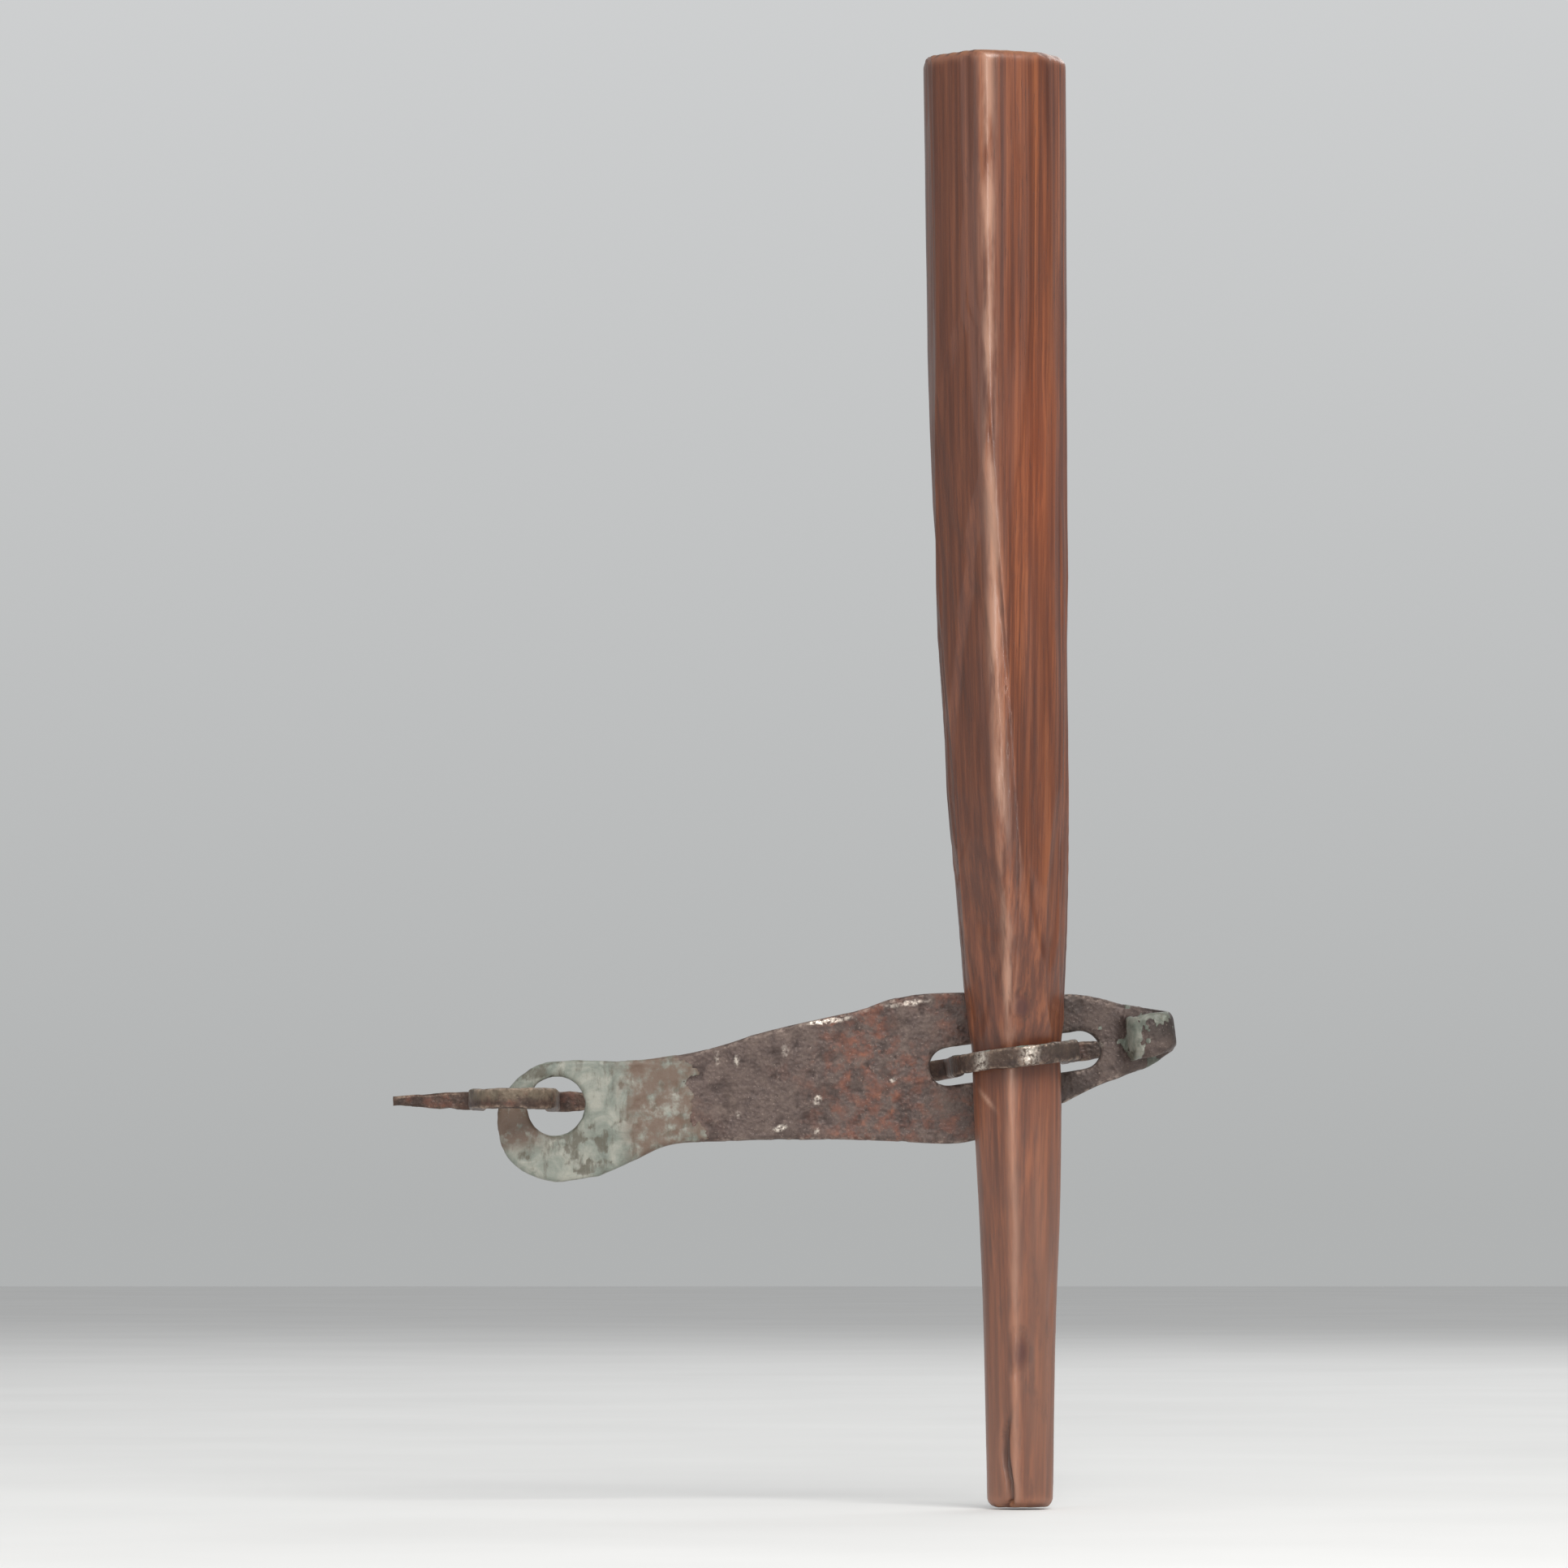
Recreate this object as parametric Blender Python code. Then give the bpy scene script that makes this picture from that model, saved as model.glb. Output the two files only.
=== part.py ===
"""A hand-forged hasp-and-staple door latch, closed and held by a tapered wooden peg.

Run it with: blender --background --python part.py

Frame: metres, +Z up, +Y into the door. The plane y = 0 is the front face of the two closed leaves.
The origin is on the back of the hasp, on its hinge line. The hasp runs to +X and rises a little.

The chain of pieces, from the left leaf to the right one:
  pivot_staple   U of square bar through the left leaf, which the hasp swings on
  hasp           flat strap with a round eye, a slot, and a rolled tip to lift it by
  keeper_staple  U of flat bar through the right leaf, which stands through the hasp's slot
  peg            whittled hardwood peg, dropped down through the keeper in front of the hasp
"""

import math

import bpy
import bmesh
from mathutils import Vector

MM = 0.001

# The door that the latch is made for. It isn't modelled.
LEAF_THICKNESS = 24.0 * MM

# Hasp. Along runs up the strap and across is square to it, both from HASP_ORIGIN, which is by the hinge line.
HASP_SLOPE = math.radians(7.5)
HASP_ORIGIN = (-0.5 * MM, -2.1 * MM)
HASP_THICKNESS = 3.0 * MM
HASP_EDGE = 0.8 * MM
HINGE_Y = -3.4 * MM
EYE_ALONG = 7.6 * MM
EYE_RADIUS = 4.7 * MM
RING_CENTRE = (8.4 * MM, -2.75 * MM)
RING_HALF_LENGTH = 11.2 * MM
RING_HALF_HEIGHT = 10.15 * MM
SLOT_ENDS = (69.4 * MM, 97.4 * MM)
SLOT_ACROSS = -2.1 * MM
SLOT_HALF_WIDTH = 2.9 * MM
STRAP_TOP = [(12, 7.3), (22, 5.9), (31, 6.1), (38, 7.0), (47, 8.4), (58, 9.1), (66, 10.6),
             (76, 10.0), (94, 7.4), (101, 5.2), (106, 4.0)]
STRAP_BOTTOM = [(13, -12.7), (20, -10.4), (25, -9.2), (31, -9.3), (43, -10.6), (55, -12.0), (67, -14.2),
                (74, -14.9), (81, -13.4), (90, -10.9), (98, -8.2), (106, -6.8)]

# Rolled tip: the strap's end thinned and rolled forward about a line across it.
ROLL_CENTRE = 106.4 * MM
ROLL_RADIUS = 4.2 * MM
ROLL_TURN = math.radians(290)
ROLL_THICKNESS = (2.4 * MM, 1.5 * MM)
ROLL_ACROSS = -1.4 * MM
ROLL_HALF_WIDTH = (5.3 * MM, 3.9 * MM)
ROLL_START = 99.0 * MM

# Staples. Bar thickness is in the plane of the U, and bar height is square to it.
PIVOT_INNER_RADIUS = 4.75 * MM
PIVOT_THICKNESS = 2.8 * MM
PIVOT_HEIGHT = 3.8 * MM
PIVOT_CLINCH = 12.0 * MM
KEEPER_INNER_RADIUS = 8.4 * MM
KEEPER_THICKNESS = 2.3 * MM
KEEPER_HEIGHT = 3.8 * MM
KEEPER_CLINCH = 14.0 * MM
KEEPER_ALONG = 83.4 * MM
KEEPER_CROWN_Y = -8.4 * MM
CLINCH_BEND = 1.2 * MM
BAR_EDGE = 0.45 * MM

# Peg. Each row is height, left side, right side and depth from the flat back to the front ridge.
PEG_BACK_Y = -3.4 * MM
PEG_ROWS = [
    (-66.8, 77.4, 88.7, 8.6),
    (-41.0, 76.9, 89.1, 9.8),
    (-22.0, 76.2, 89.8, 10.8),
    (-4.5, 75.2, 90.1, 11.9),
    (6.6, 74.8, 90.1, 12.4),
    (11.0, 74.3, 90.3, 13.1),
    (17.0, 73.6, 91.2, 14.4),
    (32.0, 71.6, 91.8, 16.8),
    (50.0, 69.3, 91.8, 18.6),
    (87.0, 68.2, 91.6, 20.0),
    (123.0, 66.9, 91.2, 20.7),
    (171.0, 66.3, 91.0, 21.0),
]
# Its section: shares of the half width, and of the depth from back to front.
PEG_SECTION = [(-0.62, 0.0), (0.60, 0.0), (0.95, 0.24), (1.0, 0.50), (0.62, 0.86),
               (-0.06, 1.0), (-0.26, 1.0), (-0.90, 0.62), (-1.0, 0.32)]
PEG_LEVELS = 26
PEG_ROUNDING = 0.28
PEG_END_CHAMFER = 1.0 * MM


def clear_scene():
    for obj in list(bpy.data.objects):
        bpy.data.objects.remove(obj, do_unlink=True)


def material(name, colour, roughness, metallic):
    made = bpy.data.materials.new(name)
    made.use_nodes = True
    shader = made.node_tree.nodes["Principled BSDF"]
    shader.inputs["Base Color"].default_value = (*colour, 1.0)
    shader.inputs["Roughness"].default_value = roughness
    shader.inputs["Metallic"].default_value = metallic
    return made


def loft(rings):
    """A closed mesh skinned over rings of equally many points, with a flat cap on each end."""
    bm = bmesh.new()
    loops = [[bm.verts.new(point) for point in ring] for ring in rings]
    count = len(loops[0])
    for first, second in zip(loops, loops[1:]):
        for i in range(count):
            j = (i + 1) % count
            bm.faces.new((first[i], first[j], second[j], second[i]))
    bm.faces.new(list(reversed(loops[0])))
    bm.faces.new(loops[-1])
    bmesh.ops.recalc_face_normals(bm, faces=bm.faces)
    return bm


def add_piece(name, bm, finish=None):
    mesh = bpy.data.meshes.new(name)
    bm.to_mesh(mesh)
    bm.free()
    obj = bpy.data.objects.new(name, mesh)
    bpy.context.scene.collection.objects.link(obj)
    if finish:
        mesh.materials.append(finish)
        mesh.shade_smooth()
        mesh.set_sharp_from_angle(angle=math.radians(35))
    return obj


def add_empty(name, location, tilt=0.0):
    """A joint's empty. Tilt raises its +X towards +Z."""
    empty = bpy.data.objects.new(name, None)
    empty.location = location
    empty.rotation_euler = (0.0, -tilt, 0.0)
    bpy.context.scene.collection.objects.link(empty)
    return empty


def add_boolean(obj, other, operation):
    """Joins or cuts obj with a helper that isn't part of the object."""
    modifier = obj.modifiers.new(operation.lower(), "BOOLEAN")
    modifier.operation = operation
    modifier.object = other
    modifier.solver = "EXACT"
    other.parent = obj
    other.hide_render = True
    other.display_type = "WIRE"


def smooth_line(points, count):
    """Catmull-Rom curve through points, count steps to each span."""
    line = []
    for i in range(len(points) - 1):
        p1, p2 = Vector(points[i]), Vector(points[i + 1])
        p0 = Vector(points[i - 1]) if i else p1 * 2 - p2
        p3 = Vector(points[i + 2]) if i + 2 < len(points) else p2 * 2 - p1
        for k in range(count):
            t = k / count
            line.append(0.5 * (2 * p1 + (p2 - p0) * t + (2 * p0 - 5 * p1 + 4 * p2 - p3) * t ** 2
                               + (3 * p1 - p0 - 3 * p2 + p3) * t ** 3))
    return line + [Vector(points[-1])]


def inset(outline, amount):
    """A closed anticlockwise outline moved inwards by amount."""
    moved = []
    for i, point in enumerate(outline):
        along = (outline[(i + 1) % len(outline)] - outline[i - 1]).normalized()
        moved.append(point + Vector((-along.y, along.x)) * amount)
    return moved


def edged_levels(thickness, edge):
    """(y, inset) through a plate from its back at y = 0, with rounded edges."""
    rounded = [(0.0, edge), (0.3 * edge, 0.3 * edge), (edge, 0.0)]
    front = [(thickness - y, amount) for y, amount in reversed(rounded)]
    return [(-y, amount) for y, amount in rounded + front]


def plate(outline, levels):
    return loft([[(p.x, y, p.y) for p in inset(outline, amount)] for y, amount in levels])


def hasp_outline():
    """The strap seen from the front, anticlockwise: bottom edge, blunt end under the roll, top edge, ring."""
    bottom = smooth_line([(a * MM, b * MM) for a, b in STRAP_BOTTOM], 4)
    top = smooth_line([(a * MM, b * MM) for a, b in STRAP_TOP], 4)
    ring = []
    for k in range(1, 24):
        angle = math.pi / 2 + math.pi * k / 24
        ring.append(Vector((RING_CENTRE[0] + RING_HALF_LENGTH * math.cos(angle),
                            RING_CENTRE[1] + RING_HALF_HEIGHT * math.sin(angle))))
    return bottom + list(reversed(top)) + ring


def stadium(half_length, half_width, centre, y, steps=10):
    """A slot's outline at depth y: two half circles joined by straight sides."""
    points = []
    for side in (1, -1):
        for k in range(steps + 1):
            angle = math.pi * (k / steps - 0.5)
            points.append((centre[0] + side * (half_length - half_width + half_width * math.cos(angle)),
                           y,
                           centre[1] + side * half_width * math.sin(angle)))
    return points


def hole_cutter(name, half_length, half_width, centre):
    """A cutter for a slot or, with equal halves, a round hole, flared where it meets the two faces."""
    rings = []
    for y, flare in ((2.0, 1.0), (0.0, 1.0), (-0.3, 0.3), (-1.0, 0.0)):
        rings.append((y * HASP_EDGE, flare * HASP_EDGE))
    rings += [(-HASP_THICKNESS - y, flare) for y, flare in reversed(rings)]
    return add_piece(name, loft([stadium(half_length + flare, half_width + flare, centre, y)
                                 for y, flare in rings]))


def rolled_tip():
    """The thin end of the strap: straight at first, then rolled forward round ROLL_CENTRE."""
    rings = []
    steps = 34
    for k in range(steps + 1):
        share = k / steps
        thickness = ROLL_THICKNESS[0] + (ROLL_THICKNESS[1] - ROLL_THICKNESS[0]) * share
        half = ROLL_HALF_WIDTH[0] + (ROLL_HALF_WIDTH[1] - ROLL_HALF_WIDTH[0]) * share
        angle = ROLL_TURN * share
        pair = []
        for radius in (ROLL_RADIUS, ROLL_RADIUS - thickness):
            pair.append((ROLL_CENTRE + radius * math.sin(angle), -ROLL_RADIUS + radius * math.cos(angle)))
        rings.append(bar_ring(pair[0], pair[1], ROLL_ACROSS, half, BAR_EDGE))
    back, front = (ROLL_START, 0.0), (ROLL_START, -ROLL_THICKNESS[0])
    rings.insert(0, bar_ring(back, front, ROLL_ACROSS, ROLL_HALF_WIDTH[0], BAR_EDGE))
    return add_piece("rolled_tip_join", loft(rings))


def bar_ring(outer, inner, across, half_height, edge):
    """One section of a bar bent in the XY plane, with its corners cut: outer and inner are (x, y)."""
    outer, inner = Vector(outer), Vector(inner)
    cut = (inner - outer).normalized() * edge
    outer_in, inner_in = outer + cut, inner - cut
    top, low = across + half_height, across - half_height
    corners = [(outer, top - edge), (outer_in, top), (inner_in, top), (inner, top - edge),
               (inner, low + edge), (inner_in, low), (outer_in, low), (outer, low + edge)]
    return [(point.x, point.y, z) for point, z in corners]


def staple_side(inner_radius, thickness, crown_y, clinch):
    """Half of a staple's centre line from the middle of its crown, as (outer, inner, share along the clinch)."""
    half = []
    for k in range(11):
        angle = math.pi / 2 * k / 10
        ray = Vector((math.sin(angle), -math.cos(angle)))
        centre = Vector((0.0, crown_y))
        half.append((centre + ray * (inner_radius + thickness), centre + ray * inner_radius, 0.0))
    # The leg bends away about a point on its outer side, so that its flat lies on the back of the leaf.
    bend = Vector((inner_radius + thickness + CLINCH_BEND, LEAF_THICKNESS - CLINCH_BEND))
    for k in range(7):
        angle = math.pi / 2 * k / 6
        ray = Vector((-math.cos(angle), math.sin(angle)))
        half.append((bend + ray * CLINCH_BEND, bend + ray * (CLINCH_BEND + thickness), 0.0))
    for share in (0.35, 0.7, 1.0):
        x = bend.x + clinch * share
        thinned = thickness * (1 - 0.6 * share)
        half.append((Vector((x, LEAF_THICKNESS)), Vector((x, LEAF_THICKNESS + thinned)), share))
    return half


def staple(name, inner_radius, thickness, height, crown_y, clinch, finish):
    """A U of bar with both legs clinched outwards behind the leaf, drawn to blunt points."""
    half = staple_side(inner_radius, thickness, crown_y, clinch)
    rings = []
    for outer, inner, share in reversed(half[1:]):
        rings.append(((-outer.x, outer.y), (-inner.x, inner.y), share))
    rings += [((outer.x, outer.y), (inner.x, inner.y), share) for outer, inner, share in half]
    return add_piece(name, loft([bar_ring(outer, inner, 0.0, height / 2 * (1 - 0.5 * share), BAR_EDGE)
                                 for outer, inner, share in rings]), finish)


def rounded(points, share, steps=3):
    """Each corner of a closed polygon replaced by a short curve that starts share of the way along its sides."""
    made = []
    for i, corner in enumerate(points):
        before, after = Vector(points[i - 1]), Vector(points[(i + 1) % len(points)])
        corner = Vector(corner)
        start, end = corner.lerp(before, share), corner.lerp(after, share)
        for k in range(steps):
            t = k / (steps - 1)
            made.append(start.lerp(corner, t).lerp(corner.lerp(end, t), t))
    return made


def peg_rings():
    """Sections of the peg from its thin end up, with a small chamfer at each end."""
    section = rounded(PEG_SECTION, PEG_ROUNDING)
    line = smooth_line([tuple(v * MM for v in row[:3]) for row in PEG_ROWS], 3)
    depths = [d.x for d in smooth_line([(row[3] * MM, 0.0) for row in PEG_ROWS], 3)]
    rows = [(*point, depth) for point, depth in zip(line, depths)]
    rings = []
    for k, (z, left, right, depth) in enumerate(rows):
        ends = ((z, PEG_END_CHAMFER), (z + PEG_END_CHAMFER, 0.0)) if k == 0 else (
            ((z - PEG_END_CHAMFER, 0.0), (z, PEG_END_CHAMFER)) if k == len(rows) - 1 else ((z, 0.0),))
        for height, trim in ends:
            half, middle = (right - left) / 2, (right + left) / 2
            keep = 1 - trim / (depth / 2)
            rings.append([(middle + p.x * (half - trim),
                           PEG_BACK_Y - depth * (0.5 + (p.y - 0.5) * keep),
                           height) for p in section])
    return rings


def build_hasp(finish):
    hinge = add_empty("hasp_hinge", (0.0, HINGE_Y, 0.0))
    hasp = add_piece("hasp", plate(hasp_outline(), edged_levels(HASP_THICKNESS, HASP_EDGE)), finish)
    eye = hole_cutter("eye_cut", EYE_RADIUS, EYE_RADIUS, (EYE_ALONG, 0.0))
    slot_length = SLOT_ENDS[1] - SLOT_ENDS[0]
    slot = hole_cutter("slot_cut", slot_length / 2, SLOT_HALF_WIDTH,
                       (sum(SLOT_ENDS) / 2, SLOT_ACROSS))
    add_boolean(hasp, rolled_tip(), "UNION")
    add_boolean(hasp, eye, "DIFFERENCE")
    add_boolean(hasp, slot, "DIFFERENCE")
    hasp.parent = hinge
    hasp.location = (HASP_ORIGIN[0], -HINGE_Y, HASP_ORIGIN[1])
    hasp.rotation_euler = (0.0, -HASP_SLOPE, 0.0)
    return hasp


def on_hasp(along, across):
    """A point of the hasp's back face, in the object's frame."""
    return (HASP_ORIGIN[0] + along * math.cos(HASP_SLOPE) - across * math.sin(HASP_SLOPE),
            0.0,
            HASP_ORIGIN[1] + along * math.sin(HASP_SLOPE) + across * math.cos(HASP_SLOPE))


def build_keeper(finish):
    slide = add_empty("keeper_slide", on_hasp(KEEPER_ALONG, SLOT_ACROSS), HASP_SLOPE)
    keeper = staple("keeper_staple", KEEPER_INNER_RADIUS, KEEPER_THICKNESS, KEEPER_HEIGHT,
                    KEEPER_CROWN_Y, KEEPER_CLINCH, finish)
    keeper.parent = slide


def build_peg(finish):
    middle = (PEG_ROWS[4][1] + PEG_ROWS[4][2]) / 2 * MM
    slide = add_empty("peg_slide", (middle, PEG_BACK_Y, 0.0))
    peg = add_piece("peg", loft(peg_rings()), finish)
    peg.parent = slide
    peg.location = (-middle, -PEG_BACK_Y, 0.0)


def main():
    clear_scene()
    strap_iron = material("hasp_iron", (0.20, 0.14, 0.12), 0.75, 0.35)
    bar_iron = material("staple_iron", (0.12, 0.09, 0.07), 0.6, 0.5)
    peg_wood = material("peg_wood", (0.30, 0.11, 0.05), 0.5, 0.0)
    staple("pivot_staple", PIVOT_INNER_RADIUS, PIVOT_THICKNESS, PIVOT_HEIGHT,
           HINGE_Y, PIVOT_CLINCH, bar_iron)
    build_hasp(strap_iron)
    build_keeper(bar_iron)
    build_peg(peg_wood)


main()
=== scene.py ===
"""Looks of the hasp-and-staple latch: forged iron with rust and old paint, and a whittled hardwood peg.

Each piece starts as its CAD solid on a fine, even mesh. Its surface is then worked in code and kept
inside the solid's box: hammer dents and pits in the iron, and knife facets, a drying crack and knots in
the wood. What the surface is like at each point is kept as attributes for its material.
"""

import itertools
import math

import bmesh
import bpy
import numpy as np
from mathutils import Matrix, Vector


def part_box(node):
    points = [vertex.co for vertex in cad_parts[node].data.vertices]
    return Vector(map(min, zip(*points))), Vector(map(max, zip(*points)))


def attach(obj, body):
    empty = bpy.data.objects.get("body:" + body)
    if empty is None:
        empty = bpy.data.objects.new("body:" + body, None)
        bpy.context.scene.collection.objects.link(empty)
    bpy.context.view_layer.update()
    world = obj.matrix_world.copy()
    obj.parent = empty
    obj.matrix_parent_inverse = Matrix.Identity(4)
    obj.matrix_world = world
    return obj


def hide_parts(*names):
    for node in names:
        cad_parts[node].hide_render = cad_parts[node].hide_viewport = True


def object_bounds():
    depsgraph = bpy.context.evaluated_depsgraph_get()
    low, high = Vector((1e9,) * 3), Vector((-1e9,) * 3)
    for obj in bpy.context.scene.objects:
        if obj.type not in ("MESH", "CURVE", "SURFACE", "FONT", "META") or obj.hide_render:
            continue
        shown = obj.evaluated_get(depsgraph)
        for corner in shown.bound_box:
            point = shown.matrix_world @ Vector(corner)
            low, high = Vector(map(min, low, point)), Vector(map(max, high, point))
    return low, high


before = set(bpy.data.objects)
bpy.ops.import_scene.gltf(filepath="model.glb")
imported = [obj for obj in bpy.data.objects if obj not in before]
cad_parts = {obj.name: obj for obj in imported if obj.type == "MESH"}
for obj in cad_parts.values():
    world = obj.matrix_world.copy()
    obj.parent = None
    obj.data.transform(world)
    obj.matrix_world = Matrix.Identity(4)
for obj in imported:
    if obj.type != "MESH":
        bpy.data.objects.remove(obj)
cad_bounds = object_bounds()

MM = 0.001

# Fineness of each mesh, and rounds of smoothing that wear its edges.
IRON_VOXEL, IRON_SMOOTHING = 0.30 * MM, 3
WOOD_VOXEL, WOOD_SMOOTHING = 0.45 * MM, 3

# The CAD's nodes.
PIVOT, HASP, KEEPER, PEG = "pivot_staple", "hasp", "keeper_staple", "peg"

# The hasp's own directions are along the strap from near the hinge line, and across it, both in mm. It
# starts at this x and z and rises by this slope. Its rolled tip starts this far along, centred across here.
HASP_SLOPE = math.radians(7.5)
HASP_ORIGIN = np.array((-0.5, -2.1)) * MM
ROLL_START, ROLL_ACROSS = 99.5, -1.4

# Old paint on the hasp: how thick it is in mm, how far along it is whole, how well it covers the strap
# beyond (-1 would leave none), and the roll's lip, painted pale as a painted highlight along its edge, from
# and to along the strap.
PAINT_THICKNESS = 0.11
PAINT_END = 25.0
PAINT_FLECKS = -0.70
LIP_HIGHLIGHT = (101.9, 104.7)

# Where looks change along the hasp, each from and to in mm: rust that bleeds into the paint begins and ends,
# the bare strap gets more and less rusty, painted shadow of the peg begins and thins, the very tip is
# darkened by soot, grime begins, and more flecks of paint are left.
BLEED_BEGINS, BLEED_ENDS = (16.5, 21.0), (90, 70)
RUST_THICKENS, RUST_THINS = (44, 60), (78, 96)
PEG_SHADOW_BEGINS, PEG_SHADOW_THINS, TIP_SOOT = (84, 90), (94, 98), (104.5, 106.5)
GRIME_BEGINS, FLECKS_BEGIN = (90, 101), (94, 104)

# Small rubbed spots on the hasp's face: along, across, half their length and width in mm, and how bright.
RUBBED_SPOTS = ((50.4, -4.6, 0.8, 0.8, 1.0), (43.8, -8.4, 1.1, 0.6, 1.0), (49.6, -9.8, 0.5, 0.5, 1.0),
                (53.5, 8.0, 4.5, 0.5, 1.0), (38.0, 3.5, 0.4, 1.0, 0.8), (46.1, 3.9, 0.5, 1.5, 0.45),
                (34.9, 4.2, 0.4, 1.2, 0.4), (37.1, -5.2, 0.5, 0.8, 0.4), (67.4, 9.2, 4.0, 0.5, 0.7),
                (63.0, -3.0, 0.5, 0.4, 0.8), (97.6, -1.8, 0.9, 0.6, 0.5), (94.5, -5.0, 0.7, 0.5, 0.5))

# Hammer marks: how deep they are in mm, the seed that places them, and on the hasp and on each staple how
# many there are and how wide a mark's half is in mm.
DENT_DEPTH, DENT_SEED = 0.34, 5
HASP_DENTS, STAPLE_DENTS = (110, 7.5), (46, 4.0)

# Places along the keeper staple's crown that are rubbed bright (x and half width, in mm), and the x where
# painted shade on its right end starts, where it curves back.
RUBBED_CROWN = ((84.3, 1.2), (76.4, 0.8))
SHADED_END = 85.8

# Peg: the keeper staple's height on it, its two knots (x, z, half width, half height, in mm), a nick and
# a red streak (x, z, in mm), the crack's x and top, and where the front ridge and the dark vein lie across
# it, from -1 to 1. The knife cuts are this many, placed by this seed.
KEEPER_HEIGHT = 6.7 * MM
KNOTS = ((82.6, -41.5, 2.0, 3.4), (82.9, 14.8, 1.9, 2.3))
NICK = (77.5, -0.2)
HEART = (85.5, 104.0)
CRACK_SIDE, CRACK_TOP = 80.8 * MM, -49.0 * MM
RIDGE_SHARE, VEIN_SHARE = -0.16, 0.44
CUTS, CUT_SEED = 60, 19

# Heights on the peg where looks change, each from and to in mm: the ridge's wear and painted highlight get
# stronger, the vein begins, the thin end dries out, painted shade on the left cut gets darker, and the dark
# part that is gripped begins and ends.
RIDGE_BRIGHTENS, VEIN_BEGINS, THIN_END_DRIES = (-8, 12), (20, 60), (22, -30)
LEFT_SHADE_RISES, GRIP_BEGINS, GRIP_ENDS = (-15, 40), (6, 14), (85, 45)

# The middle of the tree that the peg was split from (x, y), and how far apart its growth rings are.
PITH = (58.0 * MM, 46.0 * MM)
RING_GAP = 2.1 * MM


# ---------------------------------------------------------------- random fields

def lattice(cells, seed):
    """A repeatable random number from -1 to 1 for each row of three whole numbers."""
    mixed = cells[:, 0] * 73856093 ^ cells[:, 1] * 19349663 ^ cells[:, 2] * 83492791 ^ (seed + 7) * 971215073
    mixed = (mixed ^ (mixed >> 13)) * 1274126177
    mixed = (mixed ^ (mixed >> 15)) * 668265263
    return ((mixed ^ (mixed >> 17)) & 0xFFFFFF) / 0x7FFFFF - 1.0


def lumps(points, size, seed):
    """Smooth field from -1 to 1 with lumps about size mm across. Size is one number, or one per axis."""
    scaled = points / (np.asarray(size) * MM) + 517.3
    cell = np.floor(scaled).astype(np.int64)
    part = scaled - cell
    part = part * part * part * (part * (part * 6 - 15) + 10)
    total = np.zeros(len(points))
    for corner in itertools.product((0, 1), repeat=3):
        weight = np.prod(np.where(corner, part, 1 - part), axis=1)
        total += weight * lattice(cell + np.array(corner), seed)
    return total


def cloud(points, size, octaves, seed):
    """Sum of finer and finer lumps, about -1 to 1."""
    size = np.asarray(size, dtype=float)
    total = np.zeros(len(points))
    for octave in range(octaves):
        total += lumps(points, size / 2 ** octave, seed + 31 * octave) / 2 ** octave
    return total / 1.4


def step(values, low, high):
    """0 below low, 1 above high, smooth between. With high under low it falls."""
    part = np.clip((values - low) / (high - low), 0, 1)
    return part * part * (3 - 2 * part)


# ---------------------------------------------------------------- meshes

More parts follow.
